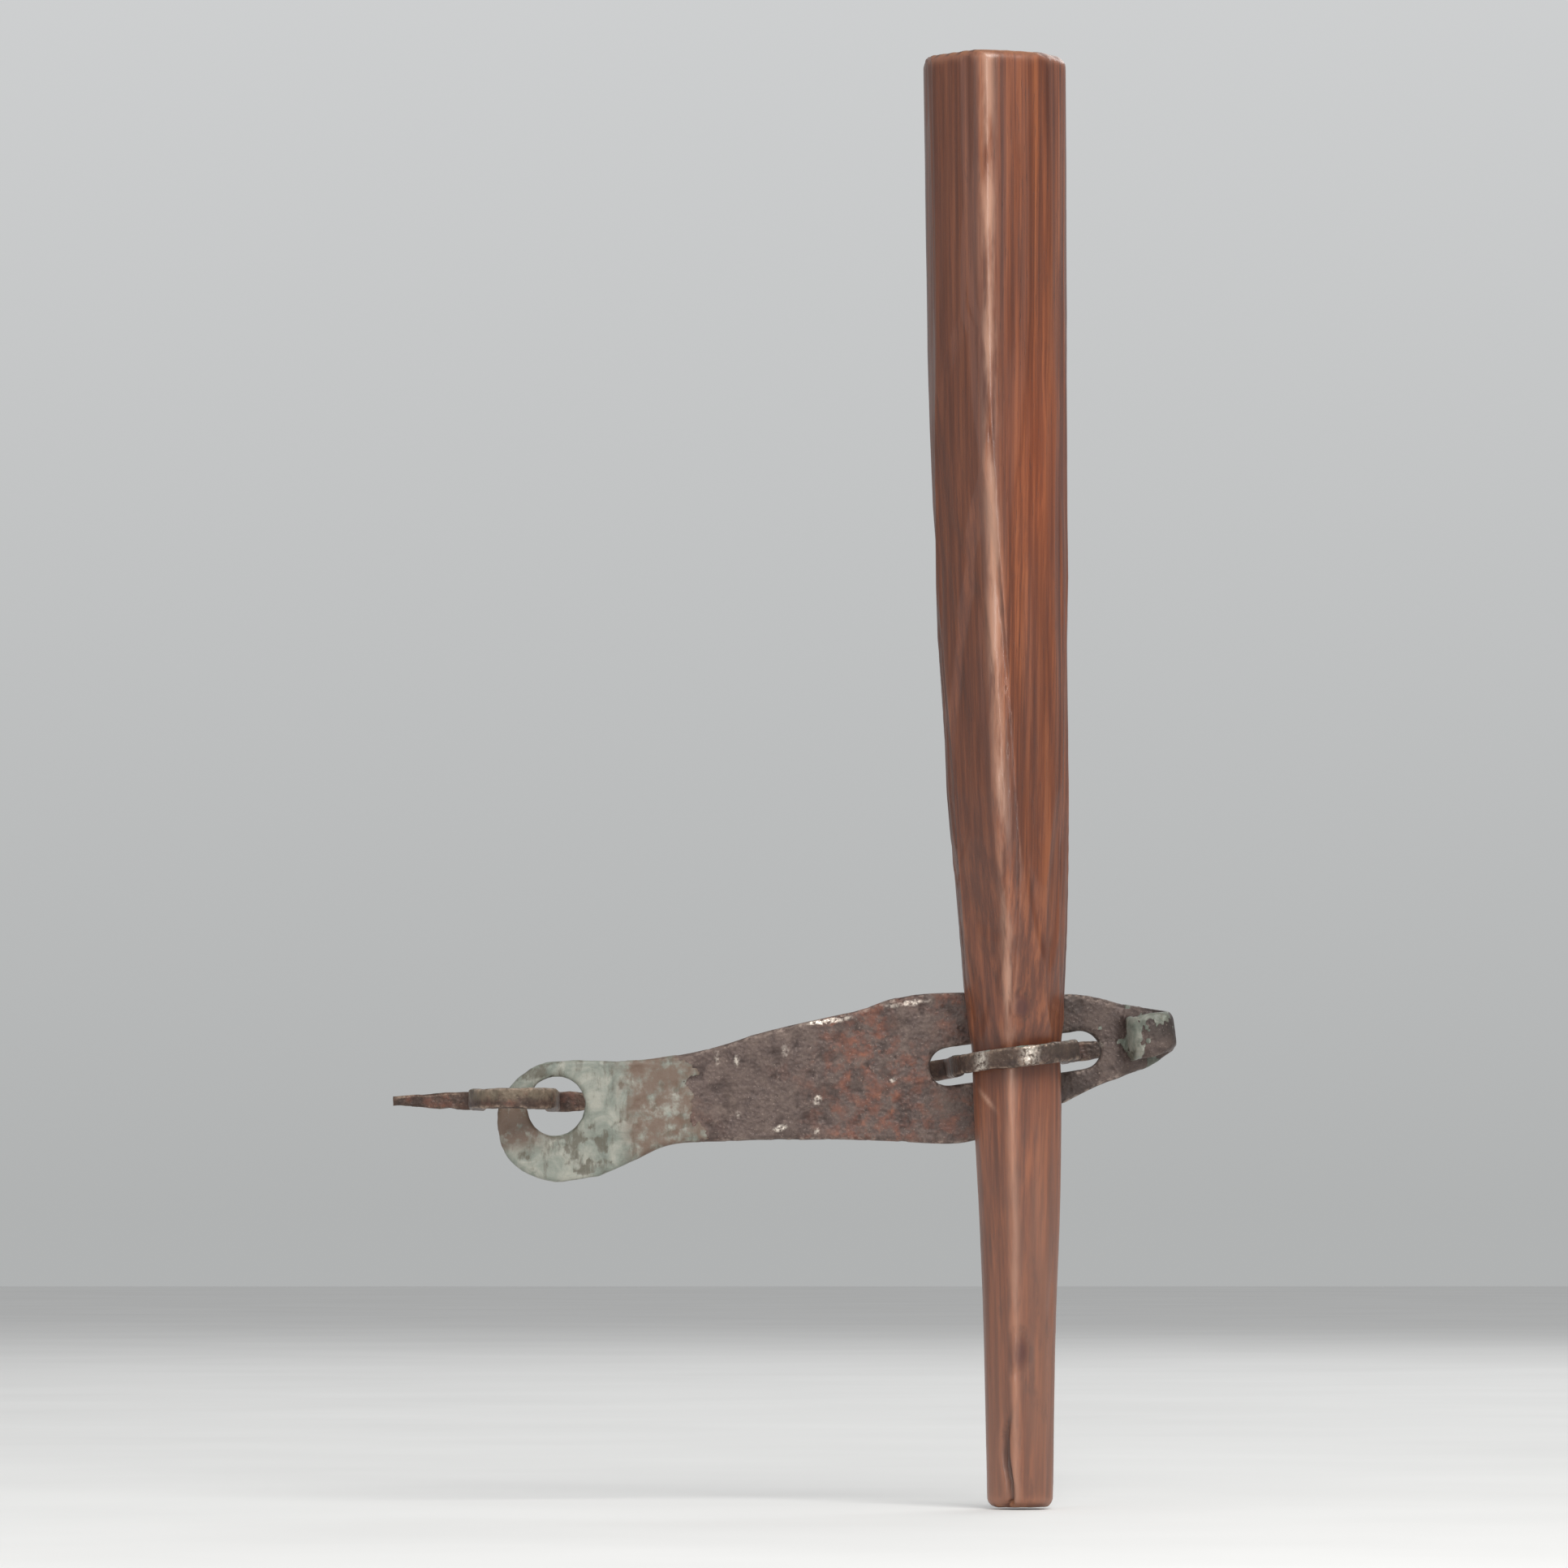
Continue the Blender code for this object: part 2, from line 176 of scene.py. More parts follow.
class Surface:
    """A piece's fine mesh. Its points are worked as arrays, in metres, and then written back."""

    def __init__(self, node, name, voxel, smoothing):
        self.obj = bpy.data.objects.new(name, self.welded(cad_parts[node].data))
        bpy.context.scene.collection.objects.link(self.obj)
        self.remesh(voxel, smoothing)
        self.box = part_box(node)
        self.read()

    @staticmethod
    def welded(source):
        """A copy of the CAD's mesh with its points joined, so that it is closed."""
        joined = bmesh.new()
        joined.from_mesh(source)
        bmesh.ops.remove_doubles(joined, verts=joined.verts, dist=0.001 * MM)
        mesh = bpy.data.meshes.new(source.name + "_welded")
        joined.to_mesh(mesh)
        joined.free()
        return mesh

    def remesh(self, voxel, smoothing):
        """Makes the mesh fine and even, and rounds its edges a little."""
        even = self.obj.modifiers.new("even", "REMESH")
        even.mode = "VOXEL"
        even.voxel_size = voxel
        worn = self.obj.modifiers.new("worn", "SMOOTH")
        worn.factor = 0.5
        worn.iterations = smoothing
        ready = self.obj.evaluated_get(bpy.context.evaluated_depsgraph_get())
        mesh = bpy.data.meshes.new_from_object(ready)
        self.obj.modifiers.clear()
        self.obj.data = mesh

    def read(self):
        """Takes the mesh's points, normals and edges into arrays."""
        mesh = self.obj.data
        count = len(mesh.vertices)
        self.points = np.zeros(count * 3)
        mesh.vertices.foreach_get("co", self.points)
        self.points = self.points.reshape(-1, 3)
        normals = np.zeros(count * 3, np.float32)
        mesh.vertex_normals.foreach_get("vector", normals)
        self.normals = normals.reshape(-1, 3).astype(float)
        edges = np.zeros(len(mesh.edges) * 2, np.int32)
        mesh.edges.foreach_get("vertices", edges)
        self.edges = edges.reshape(-1, 2)

    def write(self):
        """Writes the points back, none of them outside the CAD solid's box."""
        low, high = (np.array(corner) for corner in self.box)
        self.points = np.clip(self.points, low, high)
        self.obj.data.vertices.foreach_set("co", self.points.ravel())
        self.obj.data.update()
        self.read()

    def spread(self, values, rounds):
        """Values averaged over neighbours, rounds times."""
        first, second = self.edges.T
        count = len(self.points)
        share = np.bincount(self.edges.ravel(), minlength=count)
        for _ in range(rounds):
            values = (np.bincount(first, values[second], count)
                      + np.bincount(second, values[first], count)) / share
        return values

    def relief(self, rounds):
        """How far each point stands out of its surroundings, in mm: over 0 on edges, under 0 in hollows."""
        calm = np.stack([self.spread(self.points[:, k], rounds) for k in range(3)], axis=1)
        return ((self.points - calm) * self.normals).sum(axis=1) / MM

    def soften(self, share, rounds):
        """Rounds the surface where share is over 0, fully where it is 1."""
        for _ in range(rounds):
            calm = np.stack([self.spread(self.points[:, k], 1) for k in range(3)], axis=1)
            self.points += (calm - self.points) * share[:, None]

    def sink(self, depth):
        """Moves the surface inwards by depth, in mm."""
        self.points -= self.normals * (depth * MM)[:, None]

    def keep(self, name, values):
        """Keeps a number for each point under this name, for the material."""
        mesh = self.obj.data
        mesh.attributes.new(name, "FLOAT", "POINT").data.foreach_set("value", values.astype(np.float32))


def dents(surface, count, radius, depth, seed):
    """Shallow round hammer marks at random points of the surface, as depths in mm."""
    random = np.random.default_rng(seed)
    depths = np.zeros(len(surface.points))
    for index in random.integers(0, len(surface.points), count):
        reach = random.uniform(0.6, 1.0) * radius * MM
        away = np.linalg.norm(surface.points - surface.points[index], axis=1) / reach
        facing = np.clip(surface.normals @ surface.normals[index], 0, 1)
        mark = random.uniform(0.5, 1.0) * depth * np.clip(1 - away ** 2, 0, 1) * facing
        depths = np.maximum(depths, mark)
    return depths


def forged(node, name, dent_count, dent_radius):
    """A forged iron piece: hammer marks, scale pits and a wavering surface. Returns it, and how pitted it is
    at each point from 0 to 1."""
    surface = Surface(node, name, IRON_VOXEL, IRON_SMOOTHING)
    points = surface.points
    pits = step(cloud(points, 2.6, 4, 11), 0.12, 0.55)
    small_pits = step(lumps(points, 0.9, 23), 0.45, 0.85)
    waver = 0.5 + 0.5 * cloud(points, 9.0, 2, 41)
    depth = 0.04 + 0.20 * waver + 0.12 * pits + 0.06 * small_pits
    depth += dents(surface, dent_count, dent_radius, DENT_DEPTH, DENT_SEED)
    surface.sink(depth)
    return surface, pits


def iron_attributes(surface, pits):
    """Writes the points back, and keeps where the iron's edges and hollows are."""
    surface.write()
    relief = surface.relief(14)
    surface.keep("edge", step(relief, 0.05, 0.28))
    surface.keep("hollow", np.clip(step(relief, -0.02, -0.14) + 0.6 * pits, 0, 1))


def along_hasp(points):
    """Along and across the strap, in mm, for points in the frame's metres."""
    x, z = points[:, 0] - HASP_ORIGIN[0], points[:, 2] - HASP_ORIGIN[1]
    cos, sin = math.cos(HASP_SLOPE), math.sin(HASP_SLOPE)
    return (x * cos + z * sin) / MM, (z * cos - x * sin) / MM


def rim_dirt(surface, front):
    """1 beside the front face's edges, where dirt has gathered, falling to 0 about 2 mm in."""
    return surface.spread((front < 0.6).astype(float), 30) * front * 2


def narrow_roll(surface):
    """The roll was hammered round on an anvil's edge, so its corners are rounder than the strap's, and its
    free side narrows towards the tip, most of all below."""
    along, across = along_hasp(surface.points)
    surface.soften(0.8 * step(along, ROLL_START, ROLL_START + 3), 70)
    inward = (ROLL_ACROSS - across) * (0.16 + 0.26 * step(across, ROLL_ACROSS + 2, ROLL_ACROSS - 2))
    inward *= np.clip((along - ROLL_START - 4) / 7, 0, 1) ** 2
    surface.points += (inward * MM)[:, None] * (-math.sin(HASP_SLOPE), 0, math.cos(HASP_SLOPE))
    surface.write()


def rubbed_spots(along, across, points):
    """How bright the hasp's small rubbed spots are at each point, from 0 to 1."""
    worn = np.zeros(len(points))
    for spot_along, spot_across, long, wide, bright in RUBBED_SPOTS:
        away = np.hypot((along - spot_along) / long, (across - spot_across) / wide)
        worn = np.maximum(worn, bright * step(away + 0.4 * lumps(points, 0.8, 83), 1.1, 0.4))
    return worn


def make_hasp():
    """The strap, with old paint on its eye, rust on its bare face, a grimy tip, painted shadow beside the peg
    and below the pivot staple, and a painted highlight on the roll's lip.
    """
    surface, pits = forged(HASP, "hasp_forged", *HASP_DENTS)
    narrow_roll(surface)
    points = surface.points
    along, across = along_hasp(points)
    front = step(-surface.normals[:, 1], -0.6, 0.1)
    # Old paint: whole on the eye up to the door's gap, then only flecks, more of them near the tip.
    cover = np.clip(1.0 - (along - PAINT_END) / 5.5, PAINT_FLECKS, 1.0)
    cover = np.maximum(cover, PAINT_FLECKS + 0.75 * step(along, *FLECKS_BEGIN))
    # The roll's lip is painted pale and kept clean of grime, as a painted highlight along its edge.
    lip_highlight = step(along, LIP_HIGHLIGHT[0], LIP_HIGHLIGHT[0] + 0.6) * step(along, LIP_HIGHLIGHT[1], LIP_HIGHLIGHT[1] - 1.0)
    lip_highlight *= step(points[:, 1] / MM, -3.2, -4.4)
    lip_highlight *= step(cloud(points, 2.0, 3, 89), -0.9, -0.1)
    ragged = 0.60 * cloud(points, 6.0, 5, 61) + 0.35 * cloud(points, 1.7, 3, 67)
    chips = 0.85 * step(surface.relief(14), 0.10, 0.30)
    paint = np.maximum(step(cover + ragged - chips - 1.7 * (1 - front), 0.08, 0.2), 0.9 * lip_highlight)
    surface.points += surface.normals * (PAINT_THICKNESS * MM * paint)[:, None]
    iron_attributes(surface, pits)
    surface.keep("paint", paint)
    # Rust has bled into the paint beside the gap; below the pivot staple the stain is rust and painted shadow
    # cast by the staple.
    bled = step(along, *BLEED_BEGINS) * step(along, *BLEED_ENDS)
    staple_shadow_and_rust = step(along, 7.0, 2.5) * step(across, 2.6, 0.4) * step(across, -8.0, -3.0)
    surface.keep("rust_and_staple_shadow", np.maximum(bled, 1.5 * staple_shadow_and_rust))
    rust = 0.7 * cloud(points, 15, 3, 71) + 0.5 * step(along, *RUST_THICKENS) - 0.7 * step(along, *RUST_THINS)
    surface.keep("rust", step(rust, 0.05, 0.6))
    # Painted shadow of the peg darkens the strap beside it; the very tip is darkened by soot.
    dark_tip = 0.9 * step(along, *TIP_SOOT) * step(across, -3.5, -0.5)
    surface.keep("soot_and_shade", step(along, *PEG_SHADOW_BEGINS) * (1 - 0.6 * step(along, *PEG_SHADOW_THINS)) + dark_tip)
    grime = np.clip(1.2 * step(along, *GRIME_BEGINS) + 0.8 * rim_dirt(surface, front), 0, 1)
    surface.keep("grimy", grime * (1 - 0.9 * lip_highlight))
    surface.keep("dust_and_lit_top", np.zeros(len(points)))
    surface.keep("worn", rubbed_spots(along, across, points) * front)
    return surface.obj


def bar_middle(surface):
    """Height of the staple's middle at each point, in mm. Its legs' line is level, or slopes as the strap."""
    x, z = surface.points[:, 0] / MM, surface.points[:, 2] / MM
    slope, level = np.polyfit(x, z, 1)
    return slope * x + level


def make_staple(node, name, seed, polish, dust_and_light, rubs=()):
    """Polish and dust_and_light are how bright rubbing has made the crown and how pale its upper half is, as
    dust and as a painted lit top, from 0 to 1. Rubs are the x and half width of places that are rubbed
    brighter still."""
    surface, pits = forged(node, name, *STAPLE_DENTS)
    points = surface.points
    # Draw marks run along the bar, in front of the leaf and behind it.
    marks = lumps(points, (1.1, 9.0, 0.7), seed)
    surface.sink(0.05 * step(marks, 0.1, 0.7))
    iron_attributes(surface, pits)
    crown = step(points[:, 1] / MM, 1.0, -4.0)
    upper = step(surface.normals[:, 2], 0.1, 0.75)
    rubbed = step(surface.relief(10), 0.08, 0.28) * step(cloud(points, 3.5, 3, seed + 5), -0.5, 0.3)
    # Dust and old rust lie pale on the upper half of the crown, which is also painted light on its lit top.
    surface.keep("dust_and_lit_top", dust_and_light * crown * step(points[:, 2] / MM - bar_middle(surface), -0.9, 0.5))
    worn = polish * np.clip(0.5 * upper + rubbed, 0, 1)
    for centre, half in rubs:
        worn = np.maximum(worn, np.exp(-((points[:, 0] / MM - centre) / half) ** 2))
    surface.keep("worn", worn * crown)
    surface.keep("paint", step(crown * 0.45 * upper + 0.6 * cloud(points, 3.0, 4, seed + 3), 0.56, 0.70))
    surface.keep("rust", step(cloud(points, 5.0, 3, seed + 9), -0.2, 0.5))
    surface.keep("rust_and_staple_shadow", np.zeros(len(points)))
    # Soot darkens the staples all over, and the keeper crown's right end gets painted shade.
    surface.keep("soot_and_shade", 0.55 + 0.5 * step(points[:, 0] / MM, SHADED_END, SHADED_END + 1.7))
    surface.keep("grimy", np.full(len(points), 0.4))
    return surface.obj


def whittle(surface, count, seed):
    """Long knife cuts. Each takes a shallow, slightly hollow slice off the peg's side."""
    random = np.random.default_rng(seed)
    low, high = surface.box[0].z, surface.box[1].z
    for _ in range(count):
        # No cut comes within 26 degrees of straight ahead, where the long front ridge is left whole.
        angle = random.uniform(math.radians(-64), math.radians(244))
        centre = random.uniform(low, high)
        half = random.uniform(18, 60) * MM
        deep = random.uniform(0.12, 0.42) * MM
        way = np.array((math.cos(angle), math.sin(angle), 0.0))
        out = surface.points @ way
        heights = surface.points[:, 2]
        ends = []
        for end in (centre - half, centre + half):
            near = np.abs(heights - np.clip(end, low + 3 * MM, high - 3 * MM)) < 1.2 * MM
            ends.append(out[near].max())
        share = (heights - centre) / half
        limit = ends[0] + (ends[1] - ends[0]) * (share + 1) / 2 - deep * (1 - share ** 2)
        cut = np.where(np.abs(share) < 1, np.clip(out - limit, 0, 1.3 * deep), 0)
        surface.points -= way * cut[:, None]


def width_share(surface):
    """Where each point lies across the peg at its own height: -1 at the left edge, 1 at the right edge."""
    x, z = surface.points[:, 0], surface.points[:, 2]
    levels = np.linspace(z.min(), z.max(), 80)
    near = [np.abs(z - level) < 2.5 * MM for level in levels]
    left = np.interp(z, levels, [x[band].min() for band in near])
    right = np.interp(z, levels, [x[band].max() for band in near])
    return (2 * x - left - right) / (right - left)


def make_peg():
    """The peg, with its cuts and grain, the crack, the knots, the places that hands have changed, painted
    shade on its left cut and a painted highlight on its ridge.
    """
    surface = Surface(PEG, "peg_whittled", WOOD_VOXEL, WOOD_SMOOTHING)
    whittle(surface, CUTS, CUT_SEED)
    surface.write()
    points = surface.points
    x, y, z = points.T
    side = step(np.abs(surface.normals[:, 2]), 0.8, 0.5)
    front = step(-surface.normals[:, 1], 0.1, 0.7)
    wave = 0.5 + 0.5 * cloud(points, (7, 7, 26), 3, 3)
    grain = 0.5 + 0.5 * cloud(points, (1.3, 1.3, 38), 3, 13)
    tears = step(lumps(points, (1.6, 1.6, 14), 29), 0.55, 0.9) * step(lumps(points, 30, 37), 0.0, 0.5)
    depth = side * (0.16 * wave + 0.09 * grain + 0.10 * tears)
    # The drying crack up from the thin end, and the knots with a groove round each.
    path = CRACK_SIDE + (0.9 * lumps(points * (0, 0, 1), 9, 53)) * MM
    crack = np.clip(1 - np.abs(x - path) / (0.75 * MM), 0, 1) * front
    crack *= step(z, CRACK_TOP, CRACK_TOP - 9 * MM)
    depth += 1.3 * crack
    knot = np.min([np.hypot((x / MM - knot_x) / wide, (z / MM - knot_z) / tall)
                   for knot_x, knot_z, wide, tall in KNOTS], axis=0)
    knot_ring = np.clip(1 - np.abs(knot - 1.0) / 0.45, 0, 1) * front
    depth += 0.22 * knot_ring + 0.12 * np.clip(1 - knot, 0, 1) * front
    # Sawn end grain is rougher, with the growth rings standing a little proud.
    ring = np.sin(np.hypot(x - PITH[0], y - PITH[1]) / RING_GAP * 2 * math.pi)
    depth += (1 - side) * (0.08 + 0.05 * ring + 0.07 * cloud(points, 1.6, 2, 59))
    # The staple's mark round the peg.
    depth += 0.10 * side * np.exp(-((z - KEEPER_HEIGHT) / (2.4 * MM)) ** 2)
    surface.sink(depth)
    surface.write()
    relief = surface.relief(16)
    surface.keep("edge", step(relief, 0.06, 0.30))
    surface.keep("hollow", np.clip(step(relief, -0.03, -0.15) + crack * 1.5, 0, 1))
    across = width_share(surface)
    # The front ridge is paler: rubbed wear and a painted highlight along it, weaker below the keeper staple.
    upper = step(z / MM, *RIDGE_BRIGHTENS)
    surface.keep("ridge_wear_and_highlight", front * (0.45 + 0.55 * upper) * np.exp(-((across - RIDGE_SHARE) / 0.10) ** 2))
    vein_path = VEIN_SHARE + 0.05 * lumps(points * (0, 0, 1), 24, 97)
    surface.keep("vein", front * np.exp(-((across - vein_path) / 0.045) ** 2) * step(z / MM, *VEIN_BEGINS))
    surface.keep("knot", np.clip(1.25 - knot, 0, 1) * front)
    rise = z / MM - NICK[1]
    surface.keep("nick", front * np.exp(-((x / MM - NICK[0] + 0.7 * rise) / 0.4) ** 2 - (rise / 1.4) ** 2))
    # A redder streak of heartwood beside the front ridge.
    heart = np.exp(-((x / MM - HEART[0]) / 4.0) ** 2 - ((z / MM - HEART[1]) / 18) ** 2)
    surface.keep("heart", front * heart)
    surface.keep("end", 1 - side)
    surface.keep("low", step(z / MM, *THIN_END_DRIES))
    # Painted shade darkens the left-facing cut, and handling has darkened the part above the keeper staple
    # where the peg is gripped.
    left_cut_shade = step(surface.normals[:, 0], -0.15, -0.6) * step(z / MM, *LEFT_SHADE_RISES)
    grip = 0.5 * step(z / MM, *GRIP_BEGINS) * step(z / MM, *GRIP_ENDS)
    surface.keep("shade_and_grip", np.maximum(left_cut_shade, grip))
    surface.keep("pressed", side * np.exp(-((z - KEEPER_HEIGHT - 1.0 * MM) / (3.4 * MM)) ** 2))
    return surface.obj


# ---------------------------------------------------------------- materials

def srgb(red, green, blue):
    """A colour given as 0 to 255, as the shader's linear values."""
    linear = [((c / 255 + 0.055) / 1.055) ** 2.4 if c > 10 else c / 255 / 12.92 for c in (red, green, blue)]
    return (*linear, 1.0)


# Iron: the strap's and the staples' forge scale, rust, and what lies in or on them.
STRAP_SCALE = ((0.30, srgb(60, 49, 46)), (0.48, srgb(90, 76, 71)),
               (0.62, srgb(112, 97, 90)), (0.80, srgb(144, 127, 118)))
BAR_SCALE = ((0.30, srgb(48, 38, 34)), (0.50, srgb(80, 60, 50)), (0.75, srgb(116, 90, 74)))
STRAP_RUBBED, BAR_RUBBED = srgb(176, 158, 146), srgb(160, 138, 120)
BRIGHT_IRON = srgb(206, 196, 184)
RUST = ((0.30, srgb(74, 42, 32)), (0.55, srgb(118, 66, 46)), (0.78, srgb(158, 92, 58)))
# The soot colour also serves as painted shade and shadow, and the dust colour as a painted lit top.
DARK_PIT, SOOT_AND_SHADE, DUST_AND_LIGHT_TONE = srgb(44, 31, 28), srgb(62, 55, 52), srgb(122, 111, 94)

# Old paint: grey green going cream, with dirt, grime and rust bled into it, and painted shadow below the
# pivot staple.
PAINT = ((0.28, srgb(94, 102, 93)), (0.47, srgb(130, 134, 124)),
         (0.62, srgb(154, 153, 142)), (0.80, srgb(126, 140, 134)))
PAINT_DIRT, PAINT_GRIME, PAINT_RUST_AND_SHADOW = srgb(86, 80, 67), srgb(74, 80, 70), srgb(104, 82, 68)

# Wood: its grain, its late rings, veins, heartwood, pores and knots.
GRAIN = ((0.18, srgb(80, 38, 21)), (0.40, srgb(104, 54, 31)),
         (0.58, srgb(124, 66, 37)), (0.80, srgb(148, 85, 50)))
LATE_RING, VEIN, HEARTWOOD = srgb(76, 34, 17), srgb(74, 32, 16), srgb(152, 74, 36)
PORE, KNOT_WOOD = srgb(58, 26, 16), srgb(70, 26, 20)
END_GRAIN = ((0.25, srgb(138, 90, 60)), (0.75, srgb(84, 46, 30)))

# Wood that is handled or in painted shade, dried out, dirty, in a hollow, pressed by the staple, or rubbed
# pale, and a ridge rubbed pale with a painted highlight.
HANDLED_AND_SHADE, DRIED, WOOD_DIRT = srgb(82, 44, 28), srgb(130, 90, 72), srgb(84, 60, 52)
WOOD_HOLLOW, PRESSED = srgb(52, 28, 20), srgb(72, 38, 28)
PALE_EDGE, PALE_RIDGE_AND_HIGHLIGHT = srgb(172, 116, 88), srgb(196, 152, 128)


class Shader:
    """A material's node tree, with short calls for the nodes used here."""

    def __init__(self, name):
        self.material = bpy.data.materials.new(name)
        self.material.use_nodes = True
        self.tree = self.material.node_tree
        self.principled = self.tree.nodes["Principled BSDF"]
        self.place = self.node("ShaderNodeTexCoord").outputs["Object"]

    def node(self, kind, inputs=(), **settings):
        """A node with its settings made and each of its inputs set or linked."""
        made = self.tree.nodes.new(kind)
        for key, value in settings.items():
            setattr(made, key, value)
        for key, value in dict(inputs).items():
            if isinstance(value, bpy.types.NodeSocket):
                self.tree.links.new(value, made.inputs[key])
            else:
                made.inputs[key].default_value = value
        return made

    def attribute(self, name):
        return self.node("ShaderNodeAttribute", attribute_name=name).outputs["Fac"]

    def stretched(self, sizes):
        """The place measured in lumps of these sizes in mm, one per axis."""
        scale = tuple(1 / (size * MM) for size in sizes)
        return self.node("ShaderNodeMapping", {"Vector": self.place, "Scale": scale}).outputs[0]

    def noise(self, sizes, detail=4.0, roughness=0.55, distortion=0.0):
        """Noise from 0 to 1 with lumps of these sizes in mm."""
        sizes = (sizes,) * 3 if isinstance(sizes, (int, float)) else sizes
        return self.node("ShaderNodeTexNoise", {
            "Vector": self.stretched(sizes), "Scale": 1.0, "Detail": detail, "Roughness": roughness,
            "Distortion": distortion}).outputs[0]

    def cells(self, size):
        """Distance from the middles of random cells of this size in mm."""
        return self.node("ShaderNodeTexVoronoi", {
            "Vector": self.stretched((size,) * 3), "Scale": 1.0, "Randomness": 1.0}).outputs["Distance"]

    def math(self, operation, first, second=0.0, clamp=False):
        made = self.node("ShaderNodeMath", {0: first, 1: second}, operation=operation, use_clamp=clamp)
        return made.outputs[0]

    def vector(self, operation, first, second):
        return self.node("ShaderNodeVectorMath", {0: first, 1: second}, operation=operation)

    def times(self, first, second, clamp=False):
        return self.math("MULTIPLY", first, second, clamp)

    def plus(self, first, second):
        return self.math("ADD", first, second)

    def fit(self, value, low, high, to_low=0.0, to_high=1.0):
        """The value's range from low to high, eased to another range."""
        return self.node("ShaderNodeMapRange", {
            "Value": value, "From Min": low, "From Max": high, "To Min": to_low, "To Max": to_high},
            interpolation_type="SMOOTHSTEP").outputs[0]

    def patches(self, attribute, noise, low, high):
        """An attribute where the noise is over high, and nothing where the noise is under low."""
        return self.times(self.attribute(attribute), self.fit(noise, low, high), clamp=True)

    def mix(self, share, first, second):
        """Mix of two colours."""
        return self.node("ShaderNodeMix", {0: share, 6: first, 7: second}, data_type="RGBA").outputs[2]

    def tint(self, colour, share, most, other):
        """The colour, mixed with another one by this share of the most that it takes."""
        return self.mix(self.times(share, most, clamp=True), colour, other)

    def blend(self, share, first, second):
        """Mix of two plain numbers."""
        return self.node("ShaderNodeMix", {0: share, 2: first, 3: second}).outputs[0]

    def ramp(self, value, stops):
        """The colour at this value, between stops that are each a value and its colour."""
        made = self.node("ShaderNodeValToRGB", {"Fac": value})
        elements = made.color_ramp.elements
        elements[0].position, elements[0].color = stops[0]
        elements[1].position, elements[1].color = stops[-1]
        for position, colour in stops[1:-1]:
            elements.new(position).color = colour
        return made.outputs[0]

    def bump(self, height, distance, strength):
        """Relief that is distance mm deep where height goes from 0 to 1."""
        inputs = {"Height": height, "Distance": distance * MM, "Strength": strength}
        return self.node("ShaderNodeBump", inputs).outputs[0]

    def finish(self, **sockets):
        """Sets or links the shader's own sockets, named in lower case, and returns the material."""
        for key, value in sockets.items():
            socket = self.principled.inputs[key.replace("_", " ").title()]
            if isinstance(value, bpy.types.NodeSocket):
                self.tree.links.new(value, socket)
            else:
                socket.default_value = value
        return self.material


